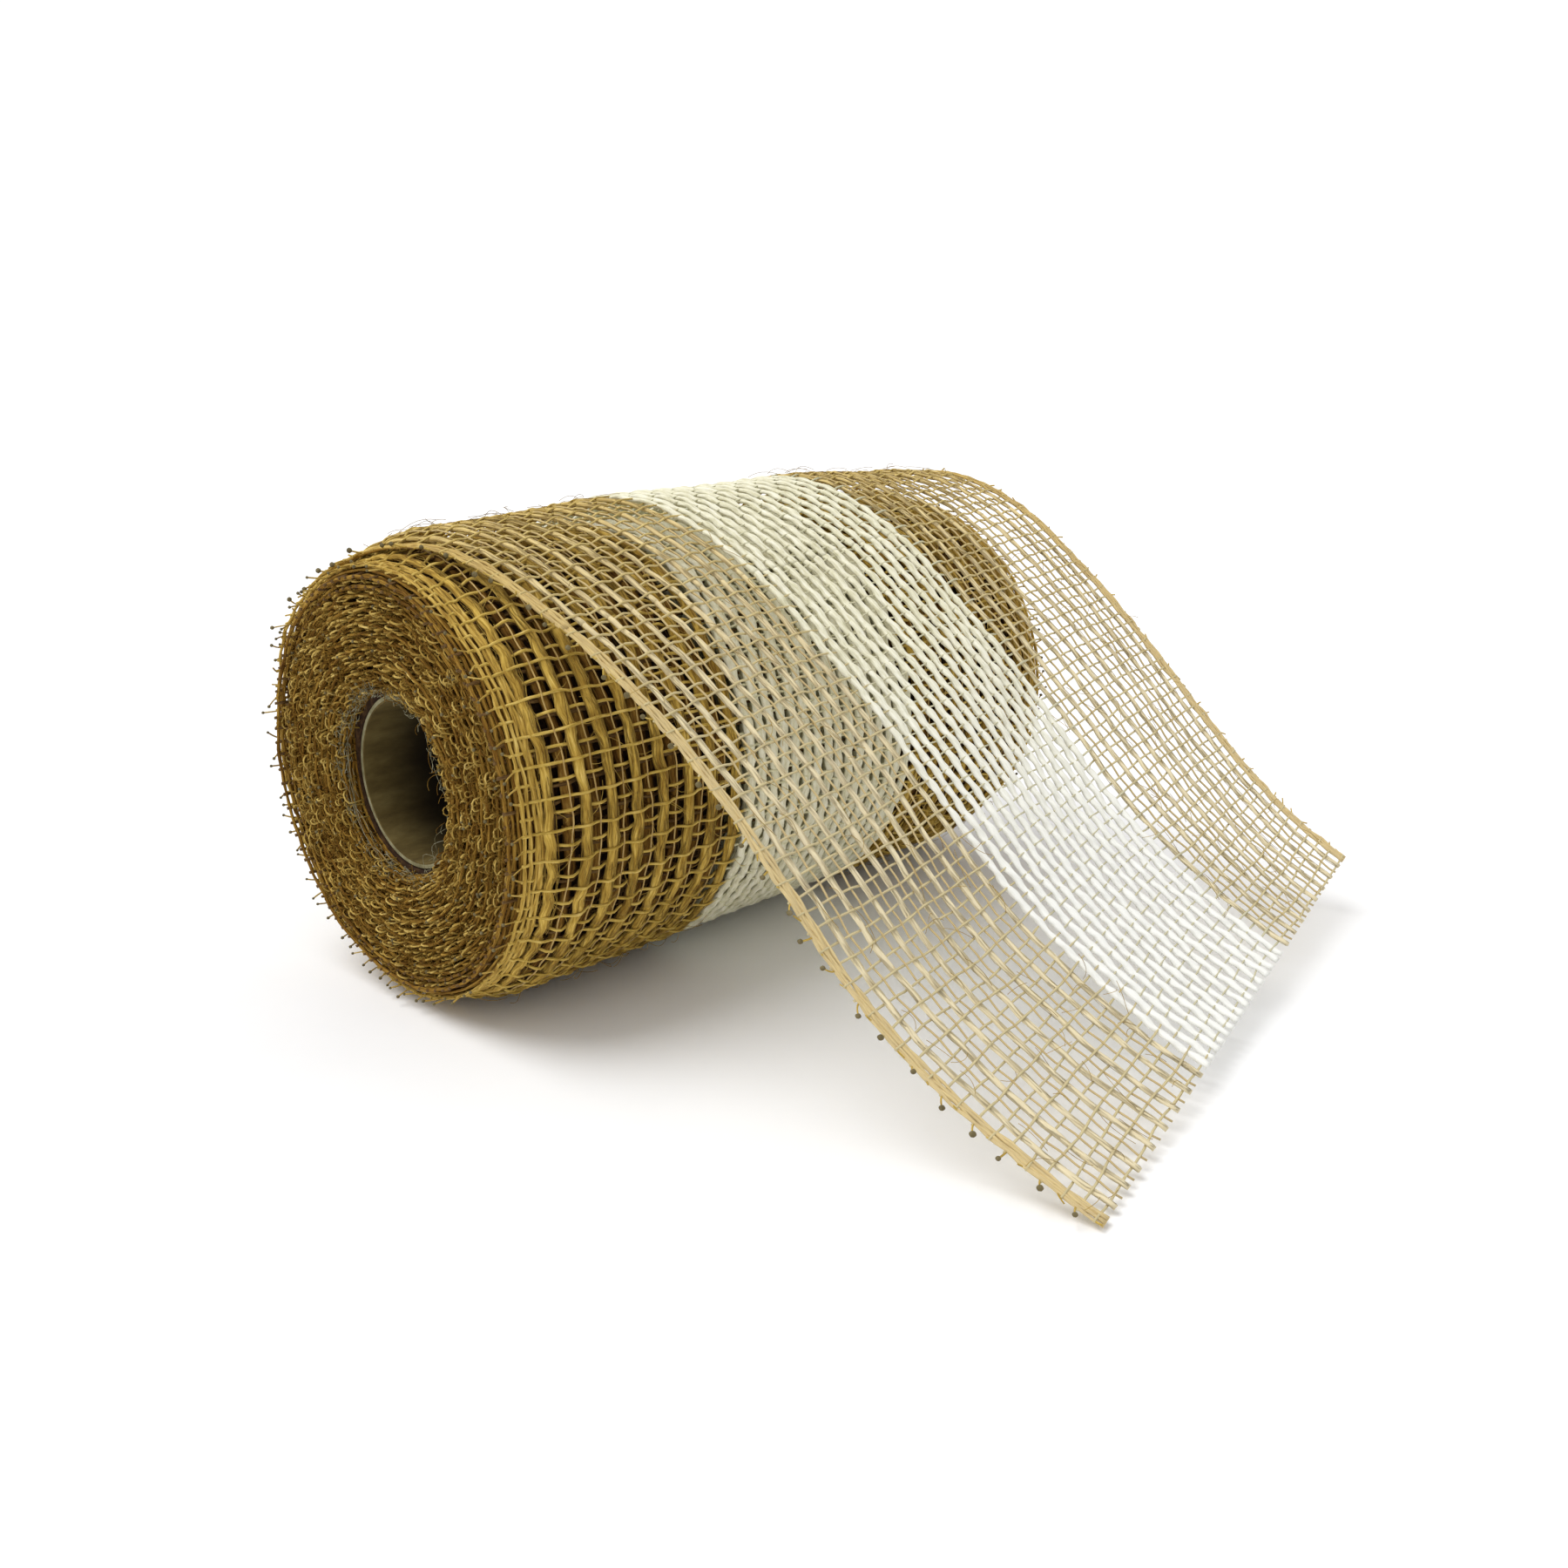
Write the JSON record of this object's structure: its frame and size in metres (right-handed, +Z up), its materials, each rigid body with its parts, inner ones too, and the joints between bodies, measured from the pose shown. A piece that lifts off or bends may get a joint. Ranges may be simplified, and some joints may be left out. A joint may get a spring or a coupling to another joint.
{
  "type": "ribbon spool",
  "caption": "Roll of striped jute and cotton open-weave mesh ribbon on a plain cardboard core, its loose end drawn off over the top.",
  "frame": {"origin": "middle of the cardboard core's bore, on the roll's axis", "axes": "+Y along the roll's axis to its far end, +Z up, the loose end runs off over the top towards +X"},
  "size_m": [0.1868, 0.1821, 0.0959],
  "materials": {
    "kraft_paper": "matte unbleached paper board",
    "glue_strip": "dull greyish fibre and dried glue",
    "jute_yarn": "loose spun jute roving, slightly silky",
    "cotton_yarn": "soft loosely spun cotton",
    "weft_thread": "fine twisted thread"
  },
  "bodies": {
    "outer_turn": {"turn_selvedge_near": "jute_yarn", "turn_jute_near": "jute_yarn", "turn_cotton": "cotton_yarn", "turn_jute_far": "jute_yarn", "turn_selvedge_far": "jute_yarn", "turn_wefts": "weft_thread"},
    "wound_pack": {"core_inner_ply": "kraft_paper", "core_middle_ply": "kraft_paper", "core_outer_ply": "kraft_paper", "start_strip": "glue_strip", "wound_selvedge_near": "jute_yarn", "wound_jute_near": "jute_yarn", "wound_cotton": "cotton_yarn", "wound_jute_far": "jute_yarn", "wound_selvedge_far": "jute_yarn"},
    "loose_end": {"tail_selvedge_near": "jute_yarn", "tail_jute_near": "jute_yarn", "tail_cotton": "cotton_yarn", "tail_jute_far": "jute_yarn", "tail_selvedge_far": "jute_yarn", "tail_wefts": "weft_thread"},
    "cut_end": {"end_selvedge_near": "jute_yarn", "end_jute_near": "jute_yarn", "end_cotton": "cotton_yarn", "end_jute_far": "jute_yarn", "end_selvedge_far": "jute_yarn", "end_wefts": "weft_thread"}
  },
  "joints": [
    {"name": "unwind", "type": "hinge", "parent": "outer_turn", "child": "wound_pack", "pos_m": [0, 0, 0], "axis": [0, 1, 0], "continuous": true},
    {"name": "tail_lift", "type": "hinge", "parent": "outer_turn", "child": "loose_end", "pos_m": [-0.0377, 0, 0.0264], "axis": [0, -1, 0], "range_deg": [0, 120]},
    {"name": "tail_curl", "type": "hinge", "parent": "loose_end", "child": "cut_end", "pos_m": [0.07191, 0.01716, 0.00557], "axis": [0.1236, -0.9894, -0.0764], "range_deg": [-35, 90]}
  ]
}
